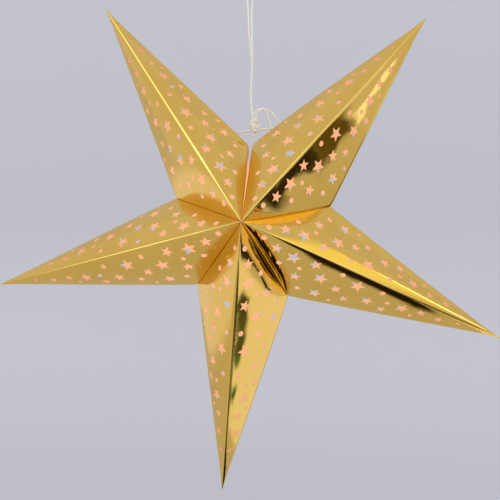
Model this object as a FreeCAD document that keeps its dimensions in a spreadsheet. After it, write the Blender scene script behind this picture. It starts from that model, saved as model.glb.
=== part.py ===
import FreeCAD, Part

import math
import os

import Sketcher

# Paper star lantern: five folded foil-card points glued side by side, closed at the
# top with string and hung from a doubled cord.
#
# Part frame, in mm: +Z up, front towards -Y, +X to the right seen from the front.
# The origin is the place in the hanging loop where a hook bears.
# Point frame: +Z from the star's centre to the tip, front towards -Y, +X across.

doc = FreeCAD.newDocument("paper_star_lantern")

# ---------------------------------------------------------------- driving sizes

SIZES = {
    # the star
    "tip_radius": 315.0,          # centre to the end of a point
    "valley_radius": 96.0,        # centre to the corner between two points
    "half_depth": 82.0,           # middle plane to the front apex
    "card_thickness": 0.5,
    "open_seam_angle": 2.6,       # left open between the two top points
    "lean_angle": 4.8,            # the whole star hangs turned clockwise by this
    "centre_relief": 0.8,         # radius left open where the five ridges meet
    # the glue flanges inside the valleys
    "flange_width": 8.0,
    "flange_end": 9.0,            # radius where a flange stops short of the centre
    # the punched ornament
    "star_large": 9.2,            # outer radius of each size of star
    "star_wide": 8.2,
    "star_middle": 7.3,
    "star_small": 6.0,
    "star_waist": 0.43,           # inner radius as a share of the outer one
    "dot_large": 3.1,             # radius of each size of dot
    "dot_middle": 2.75,
    "dot_small": 2.3,
    "string_hole": 1.3,           # radius of the pierced hole
    # the string
    "cord_diameter": 2.2,
    "centre_x": -3.0,             # the star's centre, seen from the hook
    "centre_y": -10.0,
    "hanging_drop": 298.0,
    "knot_width": 14.0,
    "knot_depth": 12.0,
    "knot_height": 11.0,
    "knot_foot": 4.6,             # radius of the knot's lower turn
    "stopper_radius": 4.5,
}

sheet = doc.addObject("Spreadsheet::Sheet", "Sizes")
for row, (alias, value) in enumerate(SIZES.items(), start=1):
    sheet.set(f"A{row}", alias)
    sheet.set(f"B{row}", str(value))
    sheet.setAlias(f"B{row}", alias)
doc.recompute()

CLEAR = 5.0    # how far a tool body runs past what it trims

# Lengths and angles that follow from the sizes, as expressions.
HALF_SECTOR = "((360 - Sizes.open_seam_angle) / 10)"
VALLEY_SIDE = f"(Sizes.valley_radius * sin({HALF_SECTOR}))"
VALLEY_ALONG = f"(Sizes.valley_radius * cos({HALF_SECTOR}))"
BASE_HALF_WIDTH = f"({VALLEY_SIDE} * Sizes.tip_radius / (Sizes.tip_radius - {VALLEY_ALONG}))"
RIDGE_LENGTH = "sqrt(Sizes.tip_radius ^ 2 + Sizes.half_depth ^ 2)"
RIDGE_SLOPE = "atan(Sizes.half_depth / Sizes.tip_radius)"
# angle between a panel and the plane that the front and back ridges lie in
FOLD_ANGLE = f"atan({BASE_HALF_WIDTH} * {RIDGE_LENGTH} / (Sizes.half_depth * Sizes.tip_radius))"
# the valley corner on the flat panel: along the ridge fold from the apex, and out from it
SEAM_LENGTH = "sqrt(Sizes.valley_radius ^ 2 + Sizes.half_depth ^ 2)"
PANEL_ALONG = (f"((Sizes.half_depth ^ 2 + Sizes.tip_radius * {VALLEY_ALONG})"
               f" / {RIDGE_LENGTH})")
PANEL_OUT = f"sqrt({SEAM_LENGTH} ^ 2 - {PANEL_ALONG} ^ 2)"


def size(alias):
    """One number from the sheet."""
    return float(getattr(sheet, alias))


# ---------------------------------------------------------------- feature helpers

def polygon_sketch(name, corners, rotation=FreeCAD.Rotation()):
    """A closed outline whose corners are bound one by one to (x, y) expressions."""
    sketch = doc.addObject("Sketcher::SketchObject", name)
    sketch.Placement = FreeCAD.Placement(FreeCAD.Vector(), rotation)
    places = [FreeCAD.Vector(sheet.evalExpression(x), sheet.evalExpression(y), 0)
              for x, y in corners]
    count = len(places)
    for index in range(count):
        sketch.addGeometry(Part.LineSegment(places[index], places[(index + 1) % count]), False)
    for index in range(count):
        sketch.addConstraint(Sketcher.Constraint("Coincident", index, 2, (index + 1) % count, 1))
    for index, (x, y) in enumerate(corners):
        for kind, value, expression in (("DistanceX", places[index].x, x),
                                        ("DistanceY", places[index].y, y)):
            number = sketch.addConstraint(Sketcher.Constraint(kind, -1, 1, index, 1, value))
            sketch.setExpression(f"Constraints[{number}]", expression)
    return sketch


def extrusion(name, profile, direction, forward, backward="0"):
    """A prism of a profile, its two lengths bound to expressions."""
    prism = doc.addObject("Part::Extrusion", name)
    prism.Base = profile
    prism.DirMode = "Custom"
    prism.Dir = direction
    prism.Solid = True
    prism.setExpression("LengthFwd", forward)
    prism.setExpression("LengthRev", backward)
    return prism


def bind_placement(item, base=("0", "0", "0"), axis=(0, 0, 1), angle="0"):
    """Binds an object's position and its turn about one fixed axis."""
    item.Placement = FreeCAD.Placement(FreeCAD.Vector(), FreeCAD.Rotation(FreeCAD.Vector(*axis), 1))
    for letter, expression in zip("xyz", base):
        item.setExpression(f"Placement.Base.{letter}", expression)
    item.setExpression("Placement.Rotation.Angle", angle)
    return item


def group(name, members):
    """Several solids carried as one, so that they can be placed together."""
    compound = doc.addObject("Part::Compound", name)
    compound.Links = members
    return compound


def mirrored(name, source, normal):
    """The reflection of an object in a plane through the frame's origin."""
    image = doc.addObject("Part::Mirroring", name)
    image.Source = source
    image.Normal = normal
    image.Base = (0, 0, 0)
    return image


def boolean(kind, name, base, tool):
    """A Part::Cut or Part::Common of two objects."""
    result = doc.addObject(kind, name)
    result.Base = base
    result.Tool = tool
    result.Refine = True
    return result


def chevron(half_angle, reach, thickness):
    """A folded strip's section: its outer fold at the origin, opening towards +y."""
    outer = (f"{reach} * sin({half_angle})", f"{reach} * cos({half_angle})")
    inner = (f"{outer[0]} - {thickness} * cos({half_angle})",
             f"{outer[1]} + {thickness} * sin({half_angle})")
    return [("0", "0"), outer, inner, ("0", f"{thickness} / sin({half_angle})"),
            (f"-({inner[0]})", inner[1]), (f"-({outer[0]})", outer[1])]


# ---------------------------------------------------------------- the punched ornament

def star_outline(radius, turn):
    """Five arms; the first stands at `turn` degrees from the ridge, towards the valley."""
    corners = []
    for step in range(10):
        share = "1" if step % 2 == 0 else "Sizes.star_waist"
        reach = f"Sizes.{radius} * {share}"
        heading = turn + 36 * step
        corners.append((f"{reach} * sin({heading})", f"{reach} * cos({heading})"))
    return corners


ARM_TO_RIDGE = 54      # a star with one arm pointing at the ridge
ARM_TO_EDGE = 18       # a star with one arm pointing away from it
ARM_ASKEW = 38

# One panel's ornament, the same on all twenty panels. Each punch is placed by two shares:
# from the apex towards the tip, and from the apex towards the valley corner.
LAYOUT = [
    ("dot_large", None, 0.064, 0.090),
    ("star_middle", ARM_ASKEW, 0.098, 0.160),
    ("dot_large", None, 0.068, 0.383),
    ("star_large", ARM_TO_RIDGE, 0.154, 0.193),
    ("dot_middle", None, 0.153, 0.328),
    ("star_middle", ARM_ASKEW, 0.107, 0.506),
    ("dot_large", None, 0.082, 0.713),
    ("star_middle", ARM_TO_EDGE, 0.243, 0.152),
    ("star_large", ARM_TO_RIDGE, 0.231, 0.346),
    ("star_wide", ARM_TO_RIDGE, 0.157, 0.673),
    ("dot_large", None, 0.349, 0.123),
    ("star_middle", ARM_TO_EDGE, 0.279, 0.416),
    ("dot_small", None, 0.206, 0.705),
    ("star_small", ARM_TO_EDGE, 0.292, 0.539),
    ("star_large", ARM_TO_RIDGE, 0.394, 0.200),
    ("star_wide", ARM_TO_RIDGE, 0.404, 0.394),
    ("dot_large", None, 0.501, 0.133),
    ("dot_middle", None, 0.502, 0.272),
    ("star_small", ARM_TO_RIDGE, 0.457, 0.433),
    ("star_wide", ARM_TO_RIDGE, 0.563, 0.249),
    ("dot_small", None, 0.588, 0.316),
    ("star_small", ARM_TO_EDGE, 0.648, 0.181),
    ("star_small", ARM_TO_RIDGE, 0.722, 0.159),
    ("dot_small", None, 0.810, 0.081),
]


STRING_HOLE = (0.091, 0.748)     # the hand-pierced hole's place, as the same two shares


def on_panel(to_tip, to_valley):
    """Expressions for a place on the flat panel: out from the ridge, and along it."""
    out = f"{to_valley} * {PANEL_OUT}"
    along = f"{to_tip} * {RIDGE_LENGTH} + {to_valley} * {PANEL_ALONG}"
    return out, along


def punch_die(radius, turn):
    """A prism that cuts one hole, centred on the panel frame's origin."""
    name = f"die_{radius}" if turn is None else f"die_{radius}_{turn}"
    existing = doc.getObject(name)
    if existing:
        return existing
    if turn is None:
        die = doc.addObject("Part::Cylinder", name)
        die.setExpression("Radius", f"Sizes.{radius}")
        die.setExpression("Height", f"{2 * CLEAR}")
        die.Placement.Base.z = -CLEAR
        return die
    outline = polygon_sketch(f"outline_{radius}_{turn}", star_outline(radius, turn))
    return extrusion(name, outline, (0, 0, 1), f"{CLEAR}", f"{CLEAR}")


def punch_layout():
    """All the punches of one panel, in the panel frame: +X out from the ridge, +Y along."""
    punches = []
    for number, (radius, turn, to_tip, to_valley) in enumerate(LAYOUT, start=1):
        punch = group(f"punch_{number}", [punch_die(radius, turn)])
        out, along = on_panel(to_tip, to_valley)
        bind_placement(punch, (out, along, "0"))
        punches.append(punch)
    return group("punch_layout", punches)


def folded_onto_panel(name, flat):
    """Stands panel-frame solids up along the ridge, then folds them to the right panel."""
    upright = group(f"{name}_upright", [flat])
    upright.Placement.Rotation = FreeCAD.Rotation(FreeCAD.Vector(1, 0, 0), 90)
    folded = group(f"{name}_folded", [upright])
    return bind_placement(folded, angle=f"90 deg - {FOLD_ANGLE}")


def lean_to_ridge(item):
    """Moves solids built along +Z to the front ridge of a point."""
    return bind_placement(item, ("0", "-Sizes.half_depth", "0"), (1, 0, 0), f"-({RIDGE_SLOPE})")


# ---------------------------------------------------------------- one folded point

def punched_strip():
    """The two front panels, folded along their ridge and punched, leaned into place."""
    reach = f"({BASE_HALF_WIDTH} + Sizes.half_depth)"
    section = polygon_sketch("ridge_section", chevron(FOLD_ANGLE, reach, "Sizes.card_thickness"))
    strip = extrusion("ridge_strip", section, (0, 0, 1), f"{RIDGE_LENGTH} + {CLEAR}", f"{CLEAR}")
    right = folded_onto_panel("punches", punch_layout())
    left = mirrored("punches_left", right, (1, 0, 0))
    punched = boolean("Part::Cut", "punched_strip", strip, group("punches", [right, left]))
    return lean_to_ridge(punched)


def sector_block():
    """The space in front of the middle plane that one point fills."""
    far = f"(Sizes.tip_radius + {CLEAR})"
    near = "Sizes.centre_relief"
    corners = [(f"-{near} * tan({HALF_SECTOR})", near), (f"{near} * tan({HALF_SECTOR})", near),
               (f"{far} * tan({HALF_SECTOR})", far), (f"-{far} * tan({HALF_SECTOR})", far)]
    plan = polygon_sketch("sector_plan", corners, FreeCAD.Rotation(FreeCAD.Vector(1, 0, 0), 90))
    return extrusion("sector_block", plan, (0, -1, 0), f"Sizes.half_depth + {CLEAR}")


def glue_flange():
    """The turned-in edge along a valley, from the front seam round to the back seam."""
    inset = "Sizes.card_thickness / 2"
    # half the angle at the valley corner, and how far the flange runs from it
    corner_angle = "atan(Sizes.half_depth / Sizes.valley_radius)"
    corner = f"(Sizes.valley_radius - {inset} / sin({corner_angle}))"
    inner = f"({corner} - Sizes.flange_width / sin({corner_angle}))"
    end = "Sizes.flange_end"
    outer_rise = f"({corner} - {end}) * tan({corner_angle})"
    inner_rise = f"({inner} - {end}) * tan({corner_angle})"
    corners = [("0", corner), (outer_rise, end), (inner_rise, end),
               ("0", inner), (f"-({inner_rise})", end), (f"-({outer_rise})", end)]
    # the sketch's x runs along the part's depth and its y out from the centre
    upright = FreeCAD.Rotation(FreeCAD.Vector(1, 1, 1), 120)
    outline = polygon_sketch("flange_outline", corners, upright)
    plate = extrusion("flange_plate", outline, (-1, 0, 0), "Sizes.card_thickness")
    turned = group("flange_right", [plate])
    return bind_placement(turned, axis=(0, 1, 0), angle=HALF_SECTOR)


def fold_one_point():
    """The bodies that each star point is joined from."""
    front = boolean("Part::Common", "front_half", punched_strip(), sector_block())
    back = mirrored("back_half", front, (0, 1, 0))
    right = glue_flange()
    left = mirrored("flange_left", right, (1, 0, 0))
    return [front, back, right, left]


def pierced_hole():
    """A hand-pierced string hole in the right front panel, near the open seam."""
    pin = doc.addObject("Part::Cylinder", "hole_pin")
    pin.setExpression("Radius", "Sizes.string_hole")
    pin.setExpression("Height", f"{2 * CLEAR}")
    pin.Placement.Base.z = -CLEAR
    spot = group("hole_spot", [pin])
    out, along = on_panel(*STRING_HOLE)
    bind_placement(spot, (out, along, "0"))
    leaned = group("pierced_hole", [folded_onto_panel("hole", spot)])
    return lean_to_ridge(leaned)


def star_point(label, position, bodies, hole=None):
    """One point of the star, numbered clockwise from the open seam at the top."""
    card = doc.addObject("Part::MultiFuse", f"card_{position}")
    card.Shapes = bodies
    card.Refine = True
    if hole:
        card = boolean("Part::Cut", f"pierced_{position}", card, hole)
    card.Label = label
    turn = f"Sizes.lean_angle + Sizes.open_seam_angle / 2 + {HALF_SECTOR} * {2 * position - 1}"
    centre = ("Sizes.centre_x", "Sizes.centre_y", "-Sizes.hanging_drop")
    return bind_placement(card, centre, (0, 1, 0), turn)


# ---------------------------------------------------------------- the string

# Routes in the part frame, each from its end in the bow knot.
HANGING_ROUTE = [
    (4.5, 1.5, -179.0), (2.0, 3.0, -163.0), (0.4, 2.8, -141.0), (1.6, 1.8, -122.0),
    (2.8, 0.8, -99.0), (2.3, 0.2, -64.0), (1.9, 0.0, -38.0), (3.9, 0.0, -22.0),
    (7.2, 0.0, -11.5), (8.0, 0.0, -3.7), (3.3, 0.0, 1.1), (-3.3, 0.0, 1.1),
    (-8.0, 0.0, -3.7), (-7.2, 0.0, -11.5), (-3.9, 0.0, -22.0), (-1.9, 0.0, -38.0),
    (-1.6, 0.6, -62.0), (0.6, 2.6, -87.0), (2.4, 3.8, -104.0), (1.5, 4.7, -122.0),
    (0.5, 5.6, -142.0), (2.0, 5.8, -163.0), (4.5, 4.6, -179.0)]
TIE_LEFT_ROUTE = [
    (2.5, 0.6, -183.4), (-8.0, 2.2, -184.1), (-16.5, 4.4, -185.1), (-22.1, 4.2, -188.5),
    (-28.7, 3.3, -194.5), (-33.8, 1.8, -198.4)]
TIE_RIGHT_ROUTE = [
    (7.0, 0.6, -183.8), (19.0, 1.6, -181.8), (30.0, 2.6, -180.8), (38.0, 2.4, -180.4),
    (43.9, -0.4, -181.4), (51.3, -5.2, -183.1), (56.5, -7.6, -185.4)]
BOW_ROUTE = [
    (3.4, -1.3, -177.0), (3.0, -1.0, -168.7), (5.6, -1.2, -161.4), (11.2, 0.2, -157.6),
    (17.8, 1.6, -159.4), (21.9, 3.0, -166.0), (24.0, 4.6, -175.0), (26.4, 5.8, -184.8),
    (28.6, 6.8, -193.3), (31.9, 8.2, -197.3), (36.9, 9.6, -198.1), (41.3, 9.9, -195.6),
    (43.0, 8.8, -190.8), (41.4, 6.6, -183.4), (37.2, 4.4, -176.4), (32.6, 2.2, -170.0),
    (27.8, 0.3, -164.2), (22.4, -1.6, -160.0), (16.4, -3.2, -158.4), (10.4, -4.0, -161.4),
    (6.9, -3.4, -168.0), (6.4, -2.2, -176.5)]
LOOSE_ROUTE = [
    (5.7, 0.5, -182.0), (5.6, 0.3, -191.0), (5.2, 0.5, -200.5), (4.4, 0.9, -209.5),
    (3.75, 1.2, -218.0)]

ARC_SHARE = 0.45    # of the shorter run beside a corner, taken up by its arc

# Where the cords meet in the bow knot: its band of turns, and the round turn under it.
KNOT_BAND = (4.9, 0.6, -177.0)
KNOT_FOOT = (5.7, 0.2, -182.0)
# The run of each tie cord that leaves a cut-out, and how far along it the stopper seats.
LEFT_STOPPER_RUN = 3
RIGHT_STOPPER_RUN = 4
STOPPER_SEAT = 6.4


def cord_path(name, route):
    """Straight runs joined by tangent arcs, as one wire."""
    points = [FreeCAD.Vector(*place) for place in route]
    edges = []
    radii = []
    start = points[0]
    for before, corner, after in zip(points, points[1:], points[2:]):
        inward = (before - corner).normalize()
        onward = (after - corner).normalize()
        half_turn = (math.pi - inward.getAngle(onward)) / 2
        cut = ARC_SHARE * min(corner.distanceToPoint(before), corner.distanceToPoint(after))
        radius = cut / math.tan(half_turn)
        radii.append(radius)
        first = corner + inward * cut
        last = corner + onward * cut
        towards_centre = (inward + onward).normalize()
        middle = corner + towards_centre * (radius / math.cos(half_turn) - radius)
        edges.append(Part.LineSegment(start, first).toShape())
        edges.append(Part.Arc(first, middle, last).toShape())
        start = last
    edges.append(Part.LineSegment(start, points[-1]).toShape())
    wire = Part.Wire(edges)
    print(f"{name}: length {wire.Length:.1f} mm, tightest arc {min(radii):.1f} mm,"
          f" arcs {[round(radius, 1) for radius in radii]}")
    return wire


def cord_tube(label, route):
    """A round cord along its route."""
    radius = size("cord_diameter") / 2
    path = cord_path(label, route)
    points = [FreeCAD.Vector(*place) for place in route]
    heading = points[1] - points[0]
    section = Part.Wire(Part.makeCircle(radius, points[0], heading))
    tube = path.makePipeShell([section], True, False)
    expected = math.pi * radius ** 2 * path.Length
    print(f"{label}: volume {tube.Volume:.0f} mm3, section times length {expected:.0f} mm3")
    feature = doc.addObject("Part::Feature", label)
    feature.Shape = tube
    feature.Label = label
    feature.Placement = FreeCAD.Placement()
    return feature


def along_route(route, run, distance):
    """The place `distance` mm along one run of a route."""
    start = FreeCAD.Vector(*route[run])
    heading = (FreeCAD.Vector(*route[run + 1]) - start).normalize()
    return start + heading * distance


def bow_knot(cords):
    """The knot: a broad band of turns over one round turn, with the cords running in."""
    band = doc.addObject("Part::Ellipsoid", "knot_band")
    band.setExpression("Radius1", "Sizes.knot_height / 2")
    band.setExpression("Radius2", "Sizes.knot_width / 2")
    band.setExpression("Radius3", "Sizes.knot_depth / 2")
    band.Placement.Base = FreeCAD.Vector(*KNOT_BAND)
    foot = doc.addObject("Part::Sphere", "knot_foot")
    foot.setExpression("Radius", "Sizes.knot_foot")
    foot.Placement.Base = FreeCAD.Vector(*KNOT_FOOT)
    lump = doc.addObject("Part::MultiFuse", "knot_lump")
    lump.Shapes = [band, foot]
    knot = boolean("Part::Cut", "bow_knot", lump, group("knot_channels", cords))
    knot.Label = "bow_knot"
    return knot


def stopper_knot(label, cord, route, run):
    """The overhand knot that keeps a tie cord from pulling out of its cut-out."""
    ball = doc.addObject("Part::Sphere", f"{label}_ball")
    ball.setExpression("Radius", "Sizes.stopper_radius")
    ball.Placement.Base = along_route(route, run, STOPPER_SEAT + size("stopper_radius"))
    knot = boolean("Part::Cut", label, ball, cord)
    knot.Label = label
    return knot


# ---------------------------------------------------------------- build

point_bodies = fold_one_point()
POINT_LABELS = ["star_point_top_right", "star_point_right", "star_point_bottom",
                "star_point_left", "star_point_top_left"]
parts = []
for position, label in enumerate(POINT_LABELS, start=1):
    hole = pierced_hole() if label == "star_point_top_left" else None
    parts.append(star_point(label, position, point_bodies, hole))

tie_left = cord_tube("tie_cord_left", TIE_LEFT_ROUTE)
tie_right = cord_tube("tie_cord_right", TIE_RIGHT_ROUTE)
bow_loop = cord_tube("bow_loop", BOW_ROUTE)
loose_end = cord_tube("loose_end", LOOSE_ROUTE)
hanging_cord = cord_tube("hanging_cord", HANGING_ROUTE)
cords = [tie_left, tie_right, bow_loop, loose_end, hanging_cord]
parts += cords
parts.append(bow_knot(cords))
parts.append(stopper_knot("stopper_knot_left", tie_left, TIE_LEFT_ROUTE, LEFT_STOPPER_RUN))
parts.append(stopper_knot("stopper_knot_right", tie_right, TIE_RIGHT_ROUTE, RIGHT_STOPPER_RUN))

doc.recompute()

for item in doc.Objects:
    if any(word in item.State for word in ("Invalid", "Error")):
        raise RuntimeError(f"{item.Name} failed to recompute: {item.State}")
for part in parts:
    if part.Shape.isNull() or not part.Shape.isValid():
        raise RuntimeError(f"{part.Label} has no valid shape")

os.makedirs("parts", exist_ok=True)
for part in parts:
    part.Shape.exportStep(f"parts/{part.Label}.step")
    box = part.Shape.BoundBox
    print(f"{part.Label}: {len(part.Shape.Solids)} solid, {part.Shape.Volume:.0f} mm3,"
          f" {len(part.Shape.Faces)} faces, X {box.XMin:.1f}..{box.XMax:.1f},"
          f" Y {box.YMin:.1f}..{box.YMax:.1f}, Z {box.ZMin:.1f}..{box.ZMax:.1f}")
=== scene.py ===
import math

import bpy
import numpy as np
from mathutils import Matrix, Vector, noise
from mathutils.geometry import delaunay_2d_cdt


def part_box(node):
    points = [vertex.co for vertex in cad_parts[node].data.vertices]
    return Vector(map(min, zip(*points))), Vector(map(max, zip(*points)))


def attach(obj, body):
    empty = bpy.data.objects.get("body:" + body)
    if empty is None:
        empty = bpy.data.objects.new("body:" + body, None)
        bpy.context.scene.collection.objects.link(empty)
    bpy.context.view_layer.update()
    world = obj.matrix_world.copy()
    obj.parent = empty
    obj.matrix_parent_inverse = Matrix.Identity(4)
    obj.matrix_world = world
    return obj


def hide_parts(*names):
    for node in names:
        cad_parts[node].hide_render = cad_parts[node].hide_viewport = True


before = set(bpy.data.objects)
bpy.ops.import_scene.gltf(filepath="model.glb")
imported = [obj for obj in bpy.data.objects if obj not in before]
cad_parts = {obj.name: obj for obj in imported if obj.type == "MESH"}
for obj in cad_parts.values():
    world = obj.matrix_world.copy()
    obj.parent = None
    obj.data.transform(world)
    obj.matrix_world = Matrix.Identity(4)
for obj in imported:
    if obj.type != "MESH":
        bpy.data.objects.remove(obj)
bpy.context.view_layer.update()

# A folded gold-card star lantern, dressed around its CAD frame. Metres, +Z up, front
# towards -Y. The frame's origin is the place in the hanging loop where a hook bears.

MM = 0.001
TINY = 1e-12                 # keeps divisions off zero


# ---------------------------------------------------------------- the star, read from the frame

ARMS = ["star_point_top_right", "star_point_right", "star_point_bottom",
        "star_point_left", "star_point_top_left"]    # clockwise from the open seam


def node_points(node):
    """The points of a CAD solid's mesh."""
    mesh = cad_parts[node].data
    points = np.empty(len(mesh.vertices) * 3)
    mesh.vertices.foreach_get("co", points)
    return points.reshape(-1, 3)


def farthest(points, place):
    """The point that lies farthest from a place."""
    return points[np.argmax(np.linalg.norm(points - place, axis=1))]


def circle_centre(points):
    """Centre of the circle that the points lie on, in the XZ plane."""
    rows = np.column_stack([2 * points[:, 0], 2 * points[:, 2], np.ones(len(points))])
    answer = np.linalg.lstsq(rows, points[:, 0] ** 2 + points[:, 2] ** 2, rcond=None)[0]
    return np.array([answer[0], points[:, 1].mean(), answer[1]])


cad_points = {name: node_points(name) for name in ARMS}
rough_centre = np.mean([points.mean(axis=0) for points in cad_points.values()], axis=0)
TIPS = np.array([farthest(cad_points[name], rough_centre) for name in ARMS])
CENTRE = circle_centre(TIPS)
TIP_RADIUS = np.linalg.norm(TIPS[0] - CENTRE)
DEPTH = np.array([0.0, 1.0, 0.0])


def arm_directions(number):
    """Unit vectors of an arm: along it, and across it (clockwise seen from the front)."""
    along = (TIPS[number] - CENTRE) / TIP_RADIUS
    return along, np.cross(DEPTH, along)


def half_depth():
    """Height of the front apex, which the solids trim by a hair, from the ridge's slope."""
    along, _ = arm_directions(0)
    offsets = cad_points[ARMS[0]] - CENTRE
    front = offsets[np.argmin(offsets[:, 1])]
    return -front[1] * TIP_RADIUS / (TIP_RADIUS - front @ along)


def valley_corner():
    """The arm's widest corner: how far along the arm it lies, and how far across."""
    along, across = arm_directions(0)
    offsets = cad_points[ARMS[0]] - CENTRE
    corner = offsets[np.argmax(offsets @ across)]
    return corner @ along, corner @ across


HALF_DEPTH = half_depth()
VALLEY_ALONG, VALLEY_ACROSS = valley_corner()

# How far the hand-folded corners lie off their even places, as (right, up) in mm.
APEX_BEND = (2.0, 0.3)
TIP_BENDS = [(-3.5, 2.1), (-0.8, -3.8), (-3.0, 0.1), (-0.6, 3.5), (-4.2, -2.2)]
# the valleys clockwise from the open seam, which both its corners share
VALLEY_BENDS = [(-3.2, 0.3), (6.3, 1.3), (0.0, -1.4), (3.2, 2.2), (3.5, -2.6)]


def bent(place, bend):
    """A place moved by such an error."""
    return place + np.array([bend[0], 0.0, bend[1]]) * MM


# ---------------------------------------------------------------- camera

CAMERA_LENS = CAMERA_SENSOR = 36.0                    # mm
CAMERA_OFFSET = Vector((0.0554, -0.5856, -0.0300))    # from the star's centre
CAMERA_TILT = -0.13                                   # degrees below level
CAMERA_YAW = -5.02                                    # degrees clockwise from looking along +Y


def make_camera():
    """The photograph's camera."""
    data = bpy.data.cameras.new("camera")
    data.sensor_width = CAMERA_SENSOR
    data.lens = CAMERA_LENS
    camera = bpy.data.objects.new("camera", data)
    bpy.context.scene.collection.objects.link(camera)
    tilt = Matrix.Rotation(math.radians(90 - CAMERA_TILT), 3, "X")
    turn = Matrix.Rotation(math.radians(-CAMERA_YAW), 3, "Z")
    place = Matrix.Translation(Vector(CENTRE) + CAMERA_OFFSET)
    camera.matrix_world = place @ (turn @ tilt).to_4x4()
    bpy.context.scene.camera = camera


make_camera()


# ---------------------------------------------------------------- helpers

NOISE_MIDDLE = (0.3, 0.7)    # most values of a noise texture lie between these


def new_material(name):
    """A material with its node tree and its Principled shader."""
    material = bpy.data.materials.new(name)
    material.use_nodes = True
    tree = material.node_tree
    return material, tree, tree.nodes["Principled BSDF"]


def unit(vector):
    """The vector at length 1."""
    return vector / np.linalg.norm(vector)


def square_to(vector, line):
    """The unit vector nearest to `vector` that stands square to a line."""
    return unit(vector - (vector @ line) * line)


def noise_node(tree, scale, detail):
    """Noise over the object's own coordinates, in metres."""
    place = tree.nodes.new("ShaderNodeTexCoord").outputs["Object"]
    texture = tree.nodes.new("ShaderNodeTexNoise")
    texture.inputs["Scale"].default_value = scale
    texture.inputs["Detail"].default_value = detail
    tree.links.new(place, texture.inputs["Vector"])
    return texture.outputs[0]


def map_range(tree, value, source, target):
    """Maps one range of a value to another."""
    node = tree.nodes.new("ShaderNodeMapRange")
    for socket, number in zip(("From Min", "From Max", "To Min", "To Max"), (*source, *target)):
        node.inputs[socket].default_value = number
    tree.links.new(value, node.inputs["Value"])
    return node.outputs[0]


def spread(tree, noise_value, low, high):
    """Maps the middle of a noise's range to low..high."""
    return map_range(tree, noise_value, NOISE_MIDDLE, (low, high))


def mottle(tree, shader, low, high, scale, detail):
    """A base colour that drifts between two tints."""
    node = tree.nodes.new("ShaderNodeMix")
    node.data_type = "RGBA"
    share = spread(tree, noise_node(tree, scale, detail), 0.0, 1.0)
    tree.links.new(share, node.inputs["Factor"])
    node.inputs["A"].default_value = (*low, 1.0)
    node.inputs["B"].default_value = (*high, 1.0)
    tree.links.new(node.outputs["Result"], shader.inputs["Base Color"])


def bump(tree, shader, height, distance):
    """Relief from a height of 0..1, as deep as `distance` in metres."""
    node = tree.nodes.new("ShaderNodeBump")
    node.inputs["Strength"].default_value = 1.0
    node.inputs["Distance"].default_value = distance
    tree.links.new(height, node.inputs["Height"])
    tree.links.new(node.outputs[0], shader.inputs["Normal"])


# ---------------------------------------------------------------- cords

CORD_DIAMETER = 0.0022

# control points of the cords' lines, in mm
HANGING_ROUTE = [
    (4.5, 1.5, -179.0), (2.0, 3.0, -163.0), (0.4, 2.8, -141.0), (1.6, 1.8, -122.0),
    (2.8, 0.8, -99.0), (2.3, 0.2, -64.0), (1.9, 0.0, -38.0), (3.9, 0.0, -22.0),
    (7.2, 0.0, -11.5), (8.0, 0.0, -3.7), (3.3, 0.0, 1.1), (-3.3, 0.0, 1.1),
    (-8.0, 0.0, -3.7), (-7.2, 0.0, -11.5), (-3.9, 0.0, -22.0), (-1.9, 0.0, -38.0),
    (-1.6, 0.6, -62.0), (0.6, 2.6, -87.0), (2.4, 3.8, -104.0), (1.5, 4.7, -122.0),
    (0.5, 5.6, -142.0), (2.0, 5.8, -163.0), (4.5, 4.6, -179.0)]
TIE_LEFT_ROUTE = [
    (2.5, 0.6, -183.4), (-8.0, 2.2, -184.1), (-16.5, 4.4, -185.1), (-22.1, 4.2, -188.5),
    (-28.7, 3.3, -194.5), (-33.8, 1.8, -198.4)]
TIE_RIGHT_ROUTE = [
    (7.0, 0.6, -183.8), (19.0, 1.6, -181.8), (30.0, 2.6, -180.8), (38.0, 2.4, -180.4),
    (43.9, -0.4, -181.4), (51.3, -5.2, -183.1), (56.5, -7.6, -185.4)]
BOW_ROUTE = [
    (3.4, -1.3, -177.0), (3.0, -1.0, -168.7), (5.6, -1.2, -161.4), (11.2, 0.2, -157.6),
    (17.8, 1.6, -159.4), (21.9, 3.0, -166.0), (24.0, 4.6, -175.0), (26.4, 5.8, -184.8),
    (28.6, 6.8, -193.3), (31.9, 8.2, -197.3), (36.9, 9.6, -198.1), (41.3, 9.9, -195.6),
    (43.0, 8.8, -190.8), (41.4, 6.6, -183.4), (37.2, 4.4, -176.4), (32.6, 2.2, -170.0),
    (27.8, 0.3, -164.2), (22.4, -1.6, -160.0), (16.4, -3.2, -158.4), (10.4, -4.0, -161.4),
    (6.9, -3.4, -168.0), (6.4, -2.2, -176.5)]
LOOSE_ROUTE = [
    (5.7, 0.5, -182.0), (5.6, 0.3, -191.0), (5.2, 0.5, -200.5), (4.4, 0.9, -209.5),
    (3.75, 1.2, -218.0)]


def string_material():
    """Bleached cotton: pale fibres of slightly different tints, with a soft sheen."""
    material, tree, shader = new_material("cotton_string")
    mottle(tree, shader, (0.94, 0.90, 0.80), (0.99, 0.97, 0.92), scale=900.0, detail=4.0)
    shader.inputs["Roughness"].default_value = 0.85
    shader.inputs["Specular IOR Level"].default_value = 0.25
    shader.inputs["Sheen Weight"].default_value = 0.3
    bump(tree, shader, noise_node(tree, scale=2600.0, detail=3.0), 0.08 * MM)
    return material


STRING = string_material()
STRANDS = 3
STRAND = 0.64 * MM           # radius of each of the string's strands
STRAND_ORBIT = CORD_DIAMETER / 2 - STRAND
TWIST = 6.2 * MM             # length of one turn of the twist
STRAND_STEP = 0.55 * MM
STRAND_SIDES = 6
ROUTE_RESOLUTION = 12        # points of a route's spline between two control points
START_ACROSS = (0.31, 0.87, 0.38)    # any direction that no cord sets out in


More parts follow.
